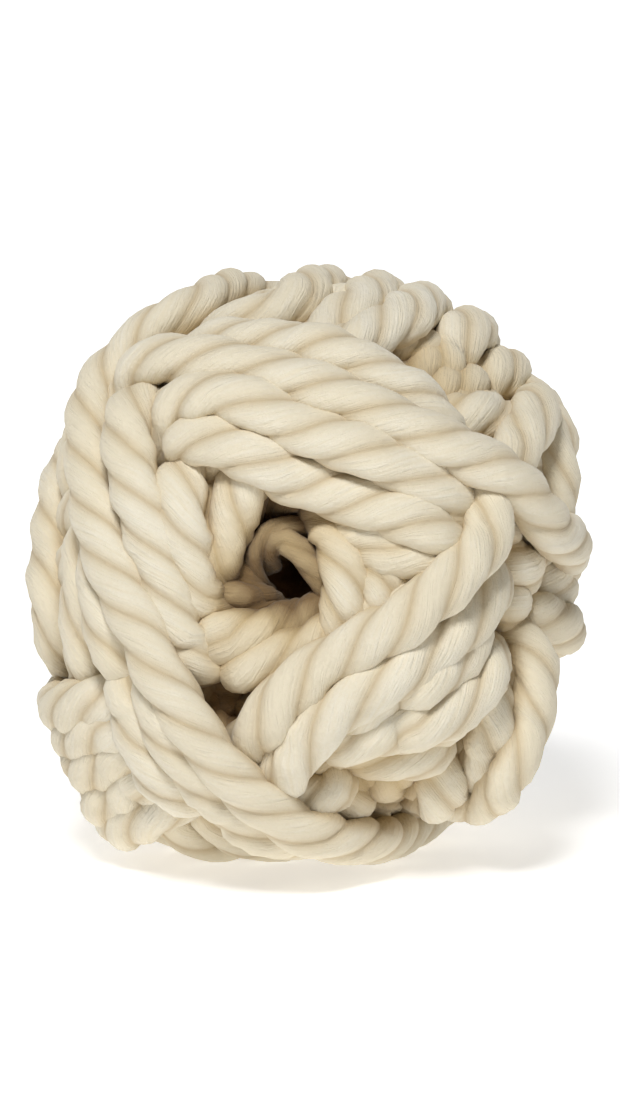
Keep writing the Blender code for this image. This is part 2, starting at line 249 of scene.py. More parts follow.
class TwineBallLook(bpy.types.PropertyGroup):
    """Colours of the natural cotton, and of the painted shade between its plies, between its turns and deep inside the
    ball.
    """
    crown: FloatVectorProperty(name="Crown", description="Cotton on top of the plies", subtype="COLOR",
                               default=(0.80, 0.72, 0.55), min=0, max=1)
    mottle: FloatVectorProperty(name="Mottle", description="Paler patches of the cotton", subtype="COLOR",
                                default=(0.86, 0.81, 0.68), min=0, max=1)
    # Painted shade: the groove colour stands for the shade in the creases between the plies and on the flanks that turn
    # down towards the ball.
    groove: FloatVectorProperty(name="Groove", description="Cotton between the plies", subtype="COLOR",
                                default=(0.60, 0.46, 0.26), min=0, max=1)
    # Painted shade: the next three colours stand for the shade that falls between and under the turns and deep in the
    # eye, taken in turn as the twine lies deeper below the form.
    recess_shade: FloatVectorProperty(name="Recess", description="Cotton between and just under the outer turns",
                                subtype="COLOR", default=(0.60, 0.44, 0.21), min=0, max=1)
    inside: FloatVectorProperty(name="Inside", description="Cotton some turns deep", subtype="COLOR",
                                default=(0.16, 0.088, 0.03), min=0, max=1)
    depth: FloatVectorProperty(name="Depth", description="Cotton deep in the eye", subtype="COLOR",
                               default=(0.42, 0.25, 0.09), min=0, max=1)
    roughness: FloatProperty(name="Roughness", description="Roughness of the cotton", default=0.92, min=0, max=1)
    sheen: FloatProperty(name="Sheen", description="Soft light on the cotton's nap", default=0.15, min=0, max=1)


class TwineBallStage(bpy.types.PropertyGroup):
    """Camera, floor and lights."""
    view_distance: FloatProperty(name="View distance", description="From the camera to the ball's middle",
                                 default=0.75, unit="LENGTH")
    frame_width: FloatProperty(name="Frame width", description="Width of the view at the ball's middle",
                               default=0.1119, unit="LENGTH")
    view_lift: FloatProperty(name="View lift", description="How far the view's middle is above the ball's",
                             default=0.0031, unit="LENGTH")
    key_power: FloatProperty(name="Key power", description="Power of the large soft light", default=8.0)
    sky_strength: FloatProperty(name="Sky strength", description="Brightness of the even light all round",
                                default=0.10)
    floor_glow: FloatProperty(name="Floor glow", description="How much the floor round the ball glows by itself",
                              default=0.30)
    wall_glow: FloatProperty(name="Wall glow", description="How much the far floor and the wall glow by themselves",
                             default=0.82)


# ---------------------------------------------------------------------------------------------------
# The wound form
# ---------------------------------------------------------------------------------------------------

FULL_TURN = 2 * math.pi
STEEPEST_PRESS = 0.5
# Distance between the points of a turn's middle line, and how finely a curve and a line of sight are read.
POINT_STEP = 0.0022
CURVE_SAMPLES = 12
SIGHT_STEPS = 240
GAP_POINTS = 6
# How a short turn's ends go down: the stride of their points, over what angle, and how deep. A point
# deeper than UNDER_ALL lies under every other turn.
END_STRIDE = math.radians(7)
DIVE_ANGLE = math.radians(14)
DIVE_DEPTH = 0.0088
UNDER_ALL = 0.0020
# How far a turn lies above one that it crosses, and how close two turns come before they press. Turns
# whose directions are as alike as the second number lie side by side, and up to the first they cross.
LAYER_STEP = 0.0062
CONTACT_WIDTH = 0.0072
SIDE_WIDTH = 0.0045
ALIKENESS = (0.75, 0.93)
LOOKUP_BLOCK = 4096
# How the turns settle: each round pulls them home, evens them along their length, and shares each press
# between the turn above and the one below, within the highest rise and the deepest fall.
SETTLING_ROUNDS = 90
PULL_HOME = 0.06
TENSION = 0.22
EVENING_PASSES = 4
RISE_SHARE = 0.35
HIGHEST_RISE = 0.0018
DEEPEST_FALL = 0.0120


def unit(vectors):
    return vectors / np.linalg.norm(vectors, axis=-1, keepdims=True)


def tilted(places, sizes):
    """Turns places about X so that the eye looks up by its tilt."""
    cosine, sine = math.cos(sizes.eye_tilt), math.sin(sizes.eye_tilt)
    turned = places.copy()
    turned[..., 1] = places[..., 1] * cosine + places[..., 2] * sine
    turned[..., 2] = places[..., 2] * cosine - places[..., 1] * sine
    return turned


def form_radius(directions, sizes):
    """The plain wound form: a squarish ellipsoid pressed flat below, before the eye sinks into it."""
    half_sizes = np.array((sizes.half_width, sizes.half_depth, sizes.half_height))
    shares = np.abs(directions) / half_sizes
    free = (shares ** sizes.squareness).sum(axis=-1) ** (-1 / sizes.squareness)
    for middle, width, height in BULGES:
        away = np.degrees(np.arccos(np.clip(directions @ unit(np.array(middle)), -1, 1)))
        free = free + height * MM * np.exp(-(away / width) ** 2)
    downward = -tilted(directions, sizes)[..., 2]
    pressed = (sizes.flat_drop + sizes.squash) / np.maximum(downward, STEEPEST_PRESS)
    return np.minimum(free, pressed)


def eye_sink(directions, sizes):
    """How far the eye pulls the form in, for directions on the front."""
    places = directions * form_radius(directions, sizes)[..., None] / MM
    distance = np.hypot(places[..., 0] - EYE_MIDDLE[0], places[..., 2] - EYE_MIDDLE[1])
    sink = np.interp(distance, EYE_DISTANCES, EYE_DEPTHS) * MM
    return np.where(places[..., 1] < 0, sink, 0.0)


def layer_radius(directions, sizes):
    """How far from the ball's middle the middle line of an outer turn lies."""
    return form_radius(directions, sizes) - eye_sink(directions, sizes) - sizes.twine_radius


def front_direction(place, sink, sizes, view_distance):
    """The direction in which a turn's middle line shows at a place on the front, at the view's distance.

    A place past the rim lies as far round the back as one that far inside the rim does on the front.
    """
    depth = np.linspace(sizes.half_depth, 0, SIGHT_STEPS)
    nearness = PLACE_UNIT * (1 - depth / view_distance)
    sight = np.stack((place[0] * nearness, -depth, place[1] * nearness), axis=1)
    directions = unit(sight)
    outside = np.linalg.norm(sight, axis=1) - layer_radius(directions, sizes) - HIGHEST_RISE + sink
    if outside.min() <= 0:
        return directions[np.argmax(outside <= 0)]
    rim, past = directions[np.argmin(outside)], outside.min()
    round_back = math.acos(1 - past / (np.linalg.norm(sight[np.argmin(outside)]) - past))
    backward = unit(np.array((0.0, 1.0, 0.0)) - rim * rim[1])
    return math.cos(round_back) * rim + math.sin(round_back) * backward


def smooth_curve(points, closed, step):
    """A smooth curve through the points, read off at even steps."""
    if closed:
        padded = np.vstack((points[-1:], points, points[:2]))
    else:
        padded = np.vstack((2 * points[:1] - points[1:2], points, 2 * points[-1:] - points[-2:-1]))
    before, start, end, after = padded[:-3], padded[1:-2], padded[2:-1], padded[3:]
    share = np.linspace(0, 1, CURVE_SAMPLES, endpoint=False)[None, :, None]
    before, start, end, after = (group[:, None, :] for group in (before, start, end, after))
    curve = 0.5 * (2 * start + (end - before) * share + (2 * before - 5 * start + 4 * end - after) * share ** 2
                   + (3 * start - 3 * end + after - before) * share ** 3)
    curve = np.vstack((curve.reshape(-1, points.shape[1]), points[:1] if closed else points[-1:]))
    lengths = np.linalg.norm(np.diff(curve[:, :3], axis=0), axis=1)
    travelled = np.concatenate(((0.0,), np.cumsum(lengths)))
    count = max(round(travelled[-1] / step), 3)
    stops = np.linspace(0, travelled[-1], count + (0 if closed else 1), endpoint=not closed)
    return np.stack([np.interp(stops, travelled, column) for column in curve.T], axis=1)


def onward_circle(start, previous, angles):
    """Directions that go straight on round the ball from a start, away from the previous one."""
    ahead = unit(start - previous - start * ((start - previous) @ start))
    return np.cos(angles)[:, None] * start + np.sin(angles)[:, None] * ahead


def bridge(first, second, third, fourth):
    """Directions that lead smoothly from the second to the third, between one stretch and the next."""
    distance = math.acos(max(min(second @ third, 1), -1))
    share = np.linspace(0, 1, GAP_POINTS + 2)[1:-1]
    fade = (share * share * (3 - 2 * share))[:, None]
    ahead = onward_circle(second, first, share * distance)
    behind = onward_circle(third, fourth, (1 - share) * distance)
    return unit(ahead * (1 - fade) + behind * fade)


def whole_turn(seen, sizes):
    """Directions of a closed turn: its front, and the same way opposite round the back."""
    gap = bridge(seen[-2], seen[-1], -seen[0], -seen[1])
    half = np.vstack((seen, gap))
    return unit(smooth_curve(np.vstack((half, -half)), True, POINT_STEP / sizes.half_width))


def short_turn(seen, ends, sizes):
    """Directions of a turn that dives under its neighbours at both ends."""
    before, after = (np.arange(END_STRIDE, math.radians(end) + DIVE_ANGLE, END_STRIDE) for end in ends)
    coming = onward_circle(seen[0], seen[1], before)[::-1]
    leaving = onward_circle(seen[-1], seen[-2], after)
    return unit(smooth_curve(np.vstack((coming, seen, leaving)), False, POINT_STEP / sizes.half_width))


def dive(count, sizes):
    """How far each point of a short turn lies below its layer, from its ends inwards."""
    number = np.arange(count)
    nearest = np.minimum(number, number[::-1]) * POINT_STEP / sizes.half_width
    share = np.clip(1 - nearest / DIVE_ANGLE, 0, 1)
    return DIVE_DEPTH * share * share * (3 - 2 * share)


def band_turns(band, sizes):
    """Directions of a band's closed turns, side by side about its axis."""
    lean, heading = math.radians(band.lean), math.radians(band.heading)
    axis = np.array((math.sin(lean) * math.cos(heading), math.cos(lean), math.sin(lean) * math.sin(heading)))
    first = unit(np.cross(axis, (1.0, 0.0, 0.0)))
    second = np.cross(axis, first)
    span = band.last_latitude - band.first_latitude
    turns = []
    for latitude in np.radians(np.linspace(band.first_latitude, band.last_latitude,
                                           round(abs(span) / LATITUDE_STEP) + 1)):
        count = round(FULL_TURN * math.cos(latitude) * sizes.half_width / POINT_STEP)
        angles = np.linspace(0, FULL_TURN, count, endpoint=False)[:, None]
        turns.append(math.sin(latitude) * axis
                     + math.cos(latitude) * (np.cos(angles) * first + np.sin(angles) * second))
    return turns


def contacts(directions, onward, order, sizes):
    """Pairs of points that press on each other, later over earlier, with the height between them.

    Turns that run side by side may lie closer than turns that cross before one climbs on the other.
    """
    closest = math.cos(CONTACT_WIDTH / sizes.half_width)
    over, under, lift = [], [], []
    for start in range(0, len(directions), LOOKUP_BLOCK):
        dots = directions[start:start + LOOKUP_BLOCK] @ directions.T
        row, column = np.nonzero(dots > closest)
        later = order[row + start] > order[column]
        row, column = row[later], column[later]
        sideways = np.arccos(np.clip(dots[row, column], -1, 1)) * sizes.half_width
        alike = np.abs((onward[row + start] * onward[column]).sum(axis=1))
        width = np.interp(alike, ALIKENESS, (CONTACT_WIDTH, SIDE_WIDTH))
        over.append(row + start)
        under.append(column)
        lift.append(LAYER_STEP * np.sqrt(np.clip(1 - (sideways / width) ** 2, 0, 1)))
    return np.concatenate(over), np.concatenate(under), np.concatenate(lift)


def settle(turns, home, dives, sizes):
    """Heights of every point once each turn lies over the earlier ones that it crosses."""
    order = np.concatenate([np.where(down > UNDER_ALL, -1, number) for number, down in enumerate(dives)])
    onward = [unit(np.gradient(turn.directions, axis=0)) for turn in turns]
    over, under, lift = contacts(np.concatenate([turn.directions for turn in turns]), np.concatenate(onward),
                                 order, sizes)
    ends = np.cumsum([len(down) for down in dives])
    starts = ends - [len(down) for down in dives]
    shift = np.zeros_like(home)
    for _ in range(SETTLING_ROUNDS):
        shift *= 1 - PULL_HOME
        for turn, start, end in zip(turns, starts, ends):
            for _ in range(EVENING_PASSES):
                line = shift[start:end]
                padded = np.pad(line, 1, mode="wrap" if turn.closed else "edge")
                shift[start:end] += TENSION * (padded[:-2] + padded[2:] - 2 * line)
        heights = home + shift
        press = np.maximum(heights[under] + lift - heights[over], 0)
        rise, fall = np.zeros_like(heights), np.zeros_like(heights)
        np.maximum.at(rise, over, press * RISE_SHARE)
        np.maximum.at(fall, under, press * (1 - RISE_SHARE))
        shift = np.clip(shift + rise - fall, -DEEPEST_FALL, HIGHEST_RISE)
    heights = home + shift
    return np.split(heights, ends[:-1])


Laid = namedtuple("Laid", "piece directions closed sink")
Line = namedtuple("Line", "piece middle closed thickness")
WINDING = []


def laid_turns(sizes, view_distance):
    """The way of every turn round the ball, in the order in which they were laid."""
    turns = [Laid(band.piece, turn, True, 0.0) for band in BANDS for turn in band_turns(band, sizes)]
    for turn in FRONT_TURNS:
        seen = np.array([front_direction(place, turn.sink * MM, sizes, view_distance) for place in turn.front])
        way = whole_turn(seen, sizes) if turn.ends is WHOLE else short_turn(seen, turn.ends, sizes)
        turns.append(Laid(turn.piece, way, turn.ends is WHOLE, turn.sink * MM))
    return turns


def winding(sizes, view_distance):
    """The middle line of every turn in the ball's own frame, worked out once."""
    if WINDING:
        return WINDING
    turns = laid_turns(sizes, view_distance)
    dives = [np.zeros(len(turn.directions)) if turn.closed else dive(len(turn.directions), sizes)
             for turn in turns]
    home = []
    for turn, down in zip(turns, dives):
        in_front = np.clip(-2 * turn.directions[:, 1], 0, 1) if turn.closed else 1.0
        home.append(layer_radius(turn.directions, sizes) - turn.sink * in_front - down)
    heights = settle(turns, np.concatenate(home), dives, sizes)
    for turn, height in zip(turns, heights):
        WINDING.append(Line(turn.piece, turn.directions * height[:, None], turn.closed, 1.0))
    for eye_turn in EYE_TURNS:
        route = []
        for across, up, depth in eye_turn.route:
            direction = front_direction((across, up), 0.0, sizes, view_distance)
            radius = form_radius(direction, sizes) - depth * MM
            route.append(direction * radius)
        WINDING.append(Line(EYE_PIECE, np.array(route), False, eye_turn.thickness))
    return WINDING


# ---------------------------------------------------------------------------------------------------
# Twine as a mesh
# ---------------------------------------------------------------------------------------------------

PLIES = 3
# Where the mesh's sides lie across one ply, in degrees from its crown: closer towards the grooves.
PLY_SIDES = (-60, -51, -38, -20, 0, 20, 38, 51)
# How far a ply's middle is from the twine's, and the ply's own radius, as shares of the twine's radius.
PLY_REACH = 0.28
PLY_SIZE = 0.72
# The twine is pressed a little flat in the ball, and each ply's thickness wanders along it.
FLATTENED = 0.93
WIDENED = 1.10
PLUMP_CHANGE = 0.035
PLUMP_WAVES = 9
# The twine's flanks get the grooves' painted shade from where they turn down towards the ball.
FLANK_START = 0.35
FLANK_FADE = 0.70
# Space between the rows of the colour map, and the scales of the map that the fibres follow.
ROW_MARGIN = 0.06
COLUMN_MARGIN = 0.004
FIBRE_ROW = 400
FIBRE_SIDES = 26.0
DEEPEST_SHADE = 40
COLOUR_MAP = "OFBake"
FIBRE_MAP = "fibre"


def ply_profile():
    """Angle, radius and groove share of each of the mesh's sides round the twine."""
    across = np.radians(np.tile(PLY_SIDES, PLIES))
    ply_middle = np.repeat(np.arange(PLIES), len(PLY_SIDES)) * FULL_TURN / PLIES
    radius = PLY_REACH * np.cos(across) + np.sqrt(PLY_SIZE ** 2 - (PLY_REACH * np.sin(across)) ** 2)
    lowest = PLY_REACH * 0.5 + math.sqrt(PLY_SIZE ** 2 - 0.75 * PLY_REACH ** 2)
    groove = (1 - radius) / (1 - lowest)
    return ply_middle + across, radius, groove


def twine_tube(line, sizes, chance):
    """Vertices, faces and surface values of one stretch of three-ply twine."""
    middle = smooth_curve(line.middle, line.closed, sizes.ring_step)
    rings = len(middle)
    if line.closed:
        onward = np.roll(middle, -1, axis=0) - np.roll(middle, 1, axis=0)
    else:
        onward = np.gradient(middle, axis=0)
    onward = unit(onward)
    outward = unit(middle)
    outward = unit(outward - onward * (outward * onward).sum(axis=1, keepdims=True))
    sideways = np.cross(onward, outward)
    length = np.linalg.norm(np.diff(middle, axis=0), axis=1).sum()
    spans = rings if line.closed else rings - 1
    twists = max(round(length / sizes.lay), 1)
    share = np.arange(rings) / spans
    angles, radius, groove = ply_profile()
    sides = len(angles)
    turned = angles[None, :] - FULL_TURN * (twists * share[:, None] + chance.random())
    plump = np.ones((rings, sides))
    for _ in range(PLUMP_WAVES):
        waves, lobe = chance.integers(3, 26), chance.integers(0, PLIES)
        swell = np.sin(FULL_TURN * (waves * share + chance.random()))[:, None]
        own_ply = np.repeat(np.arange(PLIES) == lobe, len(PLY_SIDES))[None, :]
        plump += PLUMP_CHANGE * swell * own_ply * (1 - groove[None, :] ** 2)
    reach = radius[None, :] * plump * sizes.twine_radius * line.thickness
    vertices = (middle[:, None, :] + (reach * np.cos(turned) * FLATTENED)[..., None] * outward[:, None, :]
                + (reach * np.sin(turned) * WIDENED)[..., None] * sideways[:, None, :])
    ring, side = np.meshgrid(np.arange(spans), np.arange(sides), indexing="ij")
    next_ring, next_side = (ring + 1) % rings, (side + 1) % sides
    faces = np.stack((ring * sides + side, ring * sides + next_side, next_ring * sides + next_side,
                      next_ring * sides + side), axis=-1).reshape(-1, 4)
    along = np.stack((ring, ring, ring + 1, ring + 1), axis=-1).reshape(-1, 4) / spans
    around = np.stack((side, side + 1, side + 1, side), axis=-1).reshape(-1, 4) / sides
    caps = []
    if not line.closed:
        caps = [tuple(range(sides))[::-1], tuple(range((rings - 1) * sides, rings * sides))]
    # Painted shade on the flanks that turn down towards the ball, joined below with the grooves' share.
    flank = np.clip((FLANK_START - np.cos(turned)) / FLANK_FADE, 0, 1)
    return vertices.reshape(-1, 3), faces, caps, along, around, length, np.maximum(groove, flank).ravel()


def twine_mesh(name, lines, sizes, chance):
    """One mesh of several stretches of twine, each in its own row of the colour map."""
    places, faces, colour_map, fibre_map, grooves, shades = [], [], [], [], [], []
    caps, offset = [], 0
    for row, line in enumerate(lines):
        vertices, quads, ends, along, around, length, groove = twine_tube(line, sizes, chance)
        places.append(vertices)
        faces.append(quads + offset)
        caps += [tuple(corner + offset for corner in end) for end in ends]
        row_place = (row + ROW_MARGIN + around * (1 - 2 * ROW_MARGIN)) / len(lines)
        column_place = COLUMN_MARGIN + (1 - 2 * COLUMN_MARGIN) * along
        colour_map.append(np.stack((column_place, row_place), axis=-1))
        fibre_map.append(np.stack((along * length / MM + FIBRE_ROW * row, around * FIBRE_SIDES), axis=-1))
        grooves.append(groove)
        shades.append(np.full(len(vertices), chance.random()))
        offset += len(vertices)
    places, faces = np.concatenate(places), np.concatenate(faces)
    mesh = bpy.data.meshes.new(name)
    mesh.from_pydata(places, [], [tuple(face) for face in faces.tolist()] + caps)
    extra = sum(len(end) for end in caps)
    for map_name, corners in ((COLOUR_MAP, colour_map), (FIBRE_MAP, fibre_map)):
        layer = mesh.uv_layers.new(name=map_name)
        flat = np.concatenate(corners).reshape(-1, 2)
        flat = np.vstack((flat, np.zeros((extra, 2))))
        layer.uv.foreach_set("vector", flat.astype(np.float32).ravel())
    # How far each point lies below the wound form, in millimetres, which sets the painted shade of the recesses and of
    # the eye.
    form = form_radius(unit(places), sizes)
    below = np.clip((form - np.linalg.norm(places, axis=1)) / MM, 0, DEEPEST_SHADE)
    for value_name, values in (("groove", np.concatenate(grooves)), ("shade", np.concatenate(shades)),
                               ("below", below)):
        attribute = mesh.attributes.new(value_name, "FLOAT", "POINT")
        attribute.data.foreach_set("value", values.astype(np.float32))
    mesh.uv_layers[COLOUR_MAP].active_render = True
    return mesh


def set_down(mesh, sizes, shift):
    """Turns a finished mesh by the eye's tilt, and sets it on the floor over the frame's origin."""
    places = np.empty(len(mesh.vertices) * 3)
    mesh.vertices.foreach_get("co", places)
    places = tilted(places.reshape(-1, 3), sizes) + shift
    places[:, 2] = np.maximum(places[:, 2], 0.0)
    mesh.vertices.foreach_set("co", places.ravel())
    mesh.shade_smooth()
    mesh.update()


def set_down_shift(lines, sizes):
    """Brings the turns' own box over the frame's origin, as the plain solid's box is."""
    reach = tilted(np.concatenate([line.middle for line in lines]), sizes)
    middle = (reach.min(axis=0) + reach.max(axis=0)) / 2
    return np.array((-middle[0], -middle[1], sizes.flat_drop))


def add_piece(name, mesh, material):
    """Adds a piece that rides on the fixed body and stands for the plain solid."""
    mesh.materials.append(material)
    piece = bpy.data.objects.new(name, mesh)
    bpy.context.scene.collection.objects.link(piece)
    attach(piece, BODY)
    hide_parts(NODE)
    return piece


# ---------------------------------------------------------------------------------------------------
# Cotton
# ---------------------------------------------------------------------------------------------------


class Wire:
    """A node's output that takes part in Python expressions: each operator adds its Math node."""

    def __init__(self, board, socket):
        self.board = board
        self.socket = socket

    def _math(self, operation, first, second):
        return self.board.add("ShaderNodeMath", {"operation": operation}, {0: first, 1: second})

    def __add__(self, other):
        return self._math("ADD", self, other)

    def __radd__(self, other):
        return self._math("ADD", other, self)

    def __sub__(self, other):
        return self._math("SUBTRACT", self, other)

    def __rsub__(self, other):
        return self._math("SUBTRACT", other, self)

    def __mul__(self, other):
        return self._math("MULTIPLY", self, other)

    def __rmul__(self, other):
        return self._math("MULTIPLY", other, self)

    def __truediv__(self, other):
        return self._math("DIVIDE", self, other)

    def __rtruediv__(self, other):
        return self._math("DIVIDE", other, self)

    def __pow__(self, other):
        return self._math("POWER", self, other)

    def __rpow__(self, other):
        return self._math("POWER", other, self)

    def clamped(self):
        return self.board.add("ShaderNodeClamp", {}, {"Value": self})


class Board:
    """A material's node tree."""

    def __init__(self, material):
        material.use_nodes = True
        self.tree = material.node_tree
        self.shader = self.tree.nodes["Principled BSDF"]

    def plug(self, socket, value):
        if isinstance(value, Wire):
            self.tree.links.new(value.socket, socket)
        else:
            socket.default_value = value

    def add(self, kind, settings, inputs, output=0):
        """Adds a node of a type with its settings, then its sockets' values or links, and gives an output."""
        node = self.tree.nodes.new(kind)
        for name, value in settings.items():
            setattr(node, name, value)
        for key, value in inputs.items():
            self.plug(node.inputs[key], value)
        return Wire(self, node.outputs[output])

    def mixed(self, share, first, second):
        """A colour between two colours."""
        return self.add("ShaderNodeMix", {"data_type": "RGBA", "clamp_factor": True},
                        {"Factor": share, 6: first, 7: second}, 2)


def rgba(colour):
    return (*colour, 1.0)


COTTON = "natural_cotton"
# The painted shade that comes with depth below the form, between and under the turns and deep in the eye: each colour,
# from how many millimetres below the form, over how many more, and how much of the colour there is at most.
SHADES = (("recess_shade", 6.2, 4.0, 0.8), ("inside", 9.0, 3.5, 0.9), ("depth", 18.0, 6.0, 1.0))
# How sharply and how strongly the painted shade comes in towards the grooves.
GROOVE_SHARPNESS = 1.7
GROOVE_SHARE = 0.72


def cotton_material(look):
    """Soft matt cotton with fibres along the plies, with painted shade between the plies, on the down-turned flanks and
    inside the ball.
    """
    material = bpy.data.materials.new(COTTON)
    board = Board(material)
    groove, below, shade = (board.add("ShaderNodeAttribute", {"attribute_name": name}, {}, "Fac")
                            for name in ("groove", "below", "shade"))
    fibre = board.add("ShaderNodeUVMap", {"uv_map": FIBRE_MAP}, {}, "UV")
    place = board.add("ShaderNodeTexCoord", {}, {}, "Object")
    along_fibre = board.add("ShaderNodeVectorMath", {"operation": "MULTIPLY"}, {0: fibre, 1: (0.10, 1.5, 1.0)})
    streaks = board.add("ShaderNodeTexNoise", {"noise_dimensions": "2D"},
                        {"Vector": along_fibre, "Scale": 1.0, "Detail": 3.0, "Roughness": 0.6}, "Fac")
    fine_grain = board.add("ShaderNodeVectorMath", {"operation": "MULTIPLY"}, {0: fibre, 1: (0.35, 4.0, 1.0)})
    threads = board.add("ShaderNodeTexNoise", {"noise_dimensions": "2D"},
                        {"Vector": fine_grain, "Scale": 1.0, "Detail": 2.0, "Roughness": 0.5}, "Fac")
    patches = board.add("ShaderNodeTexNoise", {}, {"Vector": place, "Scale": 55.0, "Detail": 3.0}, "Fac")
    clumps = board.add("ShaderNodeTexNoise", {}, {"Vector": place, "Scale": 700.0, "Detail": 2.0}, "Fac")
    nap = board.add("ShaderNodeTexNoise", {}, {"Vector": place, "Scale": 2200.0, "Detail": 2.0}, "Fac")
    paler = ((patches - 0.42) * 2.0 + (streaks - 0.5) * 2.0 + (nap - 0.5) * 0.8 + (shade - 0.5) * 0.35).clamped()
    cotton = board.mixed(paler, rgba(look.crown), rgba(look.mottle))
    # Painted shade in the grooves and on the down-turned flanks, broken up by the streaks.
    groove_shade = ((groove ** GROOVE_SHARPNESS) * GROOVE_SHARE + (streaks - 0.5) * 0.45).clamped()
    cotton = board.mixed(groove_shade, cotton, rgba(look.groove))
    # Painted shade that darkens the cotton step by step with its depth below the form.
    for name, start, fade, most in SHADES:
        cotton = board.mixed(((below - start) / fade).clamped() * most, cotton, rgba(getattr(look, name)))
    board.plug(board.shader.inputs["Base Color"], cotton)
    board.plug(board.shader.inputs["Roughness"], look.roughness)
    board.plug(board.shader.inputs["Sheen Weight"], look.sheen)
    board.plug(board.shader.inputs["Sheen Roughness"], 0.6)
    board.plug(board.shader.inputs["Specular IOR Level"], 0.2)
    relief = streaks * 0.6 + threads * 0.35 + clumps * 0.5 + nap * 0.25
    bump = board.add("ShaderNodeBump", {}, {"Height": relief, "Distance": 0.0008, "Strength": 0.6}, "Normal")
    board.plug(board.shader.inputs["Normal"], bump)
    return material


def shared_cotton():
    """The one material of every piece, made the first time that it's needed."""
    return bpy.data.materials.get(COTTON) or cotton_material(bpy.context.scene.twine_look)


def make_turns(names):
    """Adds one piece for each named group of turns."""
    scene = bpy.context.scene
    sizes = scene.twine_sizes
    lines = winding(sizes, scene.twine_stage.view_distance)
    shift = set_down_shift(lines, sizes)
    for name in names:
        chance = np.random.default_rng(sizes.seed + sum(name.encode()))
        mesh = twine_mesh(name, [line for line in lines if line.piece == name], sizes, chance)
        set_down(mesh, sizes, shift)
        add_piece(name, mesh, shared_cotton())


# ---------------------------------------------------------------------------------------------------
# Operators
# ---------------------------------------------------------------------------------------------------


class TWINE_OT_band_turns(bpy.types.Operator):
    """Wind the inner bands, whose turns lie side by side"""
    bl_idname = "twine.band_turns"
    bl_label = "Band turns"

    def execute(self, context):
        make_turns([band.piece for band in BANDS])
        return {"FINISHED"}


class TWINE_OT_front_turns(bpy.types.Operator):
    """Lay the outer turns that cross on the front of the ball"""
    bl_idname = "twine.front_turns"
    bl_label = "Front turns"

    def execute(self, context):
        make_turns(sorted({turn.piece for turn in FRONT_TURNS}))
        return {"FINISHED"}


class TWINE_OT_eye_turns(bpy.types.Operator):
    """Lay the short stretches that show deep in the eye"""
    bl_idname = "twine.eye_turns"
    bl_label = "Eye turns"

    def execute(self, context):
        make_turns([EYE_PIECE])
        return {"FINISHED"}


CORE_RINGS = 40
CORE_SIDES = 64
CORE_SINK = 0.0190
CORE_EYE_SHARE = 0.8
CORE_RIPPLE = 0.0006
# The inner mass's surface values: a painted groove shade of 0.6, a random tone of 0.4, and the painted shade of twine
# 27 mm below the form.
CORE_SHADES = (("groove", 0.6), ("shade", 0.4), ("below", 27.0))


class TWINE_OT_inner_mass(bpy.types.Operator):
    """Fill the ball's inside with the mass of its hidden turns, coloured with the painted shade of deep twine"""
    bl_idname = "twine.inner_mass"
    bl_label = "Inner mass"

    def execute(self, context):
        scene = context.scene
        sizes = scene.twine_sizes
        shift = set_down_shift(winding(sizes, scene.twine_stage.view_distance), sizes)
        polar = np.linspace(0, math.pi, CORE_RINGS + 1)[1:-1, None]
        around = np.linspace(0, FULL_TURN, CORE_SIDES, endpoint=False)[None, :]
        directions = np.stack((np.sin(polar) * np.cos(around), -np.cos(polar) + 0 * around,
                               np.sin(polar) * np.sin(around)), axis=-1).reshape(-1, 3)
        directions = np.vstack((directions, (0.0, -1.0, 0.0), (0.0, 1.0, 0.0)))
        radius = form_radius(directions, sizes) - CORE_SINK - eye_sink(directions, sizes) * CORE_EYE_SHARE
        radius += CORE_RIPPLE * np.sin(9 * np.arctan2(directions[:, 2], directions[:, 0]) + 14 * directions[:, 1])
        places = directions * radius[:, None]
        faces = []
        rings = CORE_RINGS - 1
        for ring in range(rings - 1):
            for side in range(CORE_SIDES):
                after = (side + 1) % CORE_SIDES
                here, above = ring * CORE_SIDES, (ring + 1) * CORE_SIDES
                faces.append((here + after, here + side, above + side, above + after))
        front_pole, back_pole = rings * CORE_SIDES, rings * CORE_SIDES + 1
        last = (rings - 1) * CORE_SIDES
        for side in range(CORE_SIDES):
            after = (side + 1) % CORE_SIDES
            faces.append((front_pole, side, after))
            faces.append((back_pole, last + after, last + side))
        mesh = bpy.data.meshes.new("inner_mass")
        mesh.from_pydata(places.tolist(), [], faces)
        for value_name, value in CORE_SHADES:
            attribute = mesh.attributes.new(value_name, "FLOAT", "POINT")
            attribute.data.foreach_set("value", np.full(len(places), value, np.float32))
        set_down(mesh, sizes, shift)
        add_piece("inner_mass", mesh, shared_cotton())
        return {"FINISHED"}


# The floor reaches this far each way, and bends up into a wall well behind the ball. Up to the near line
# it has the floor's own glow, and from the far line on the wall's.
FLOOR_REACH = 4.0
NEAR_FLOOR = -0.15
FAR_FLOOR = 0.45
WALL_PLACE = 2.6
BEND_RADIUS = 0.8
BEND_STEPS = 24
KEY_PLACE = (-0.12, -0.65, 0.80)
KEY_SIZE = 0.30


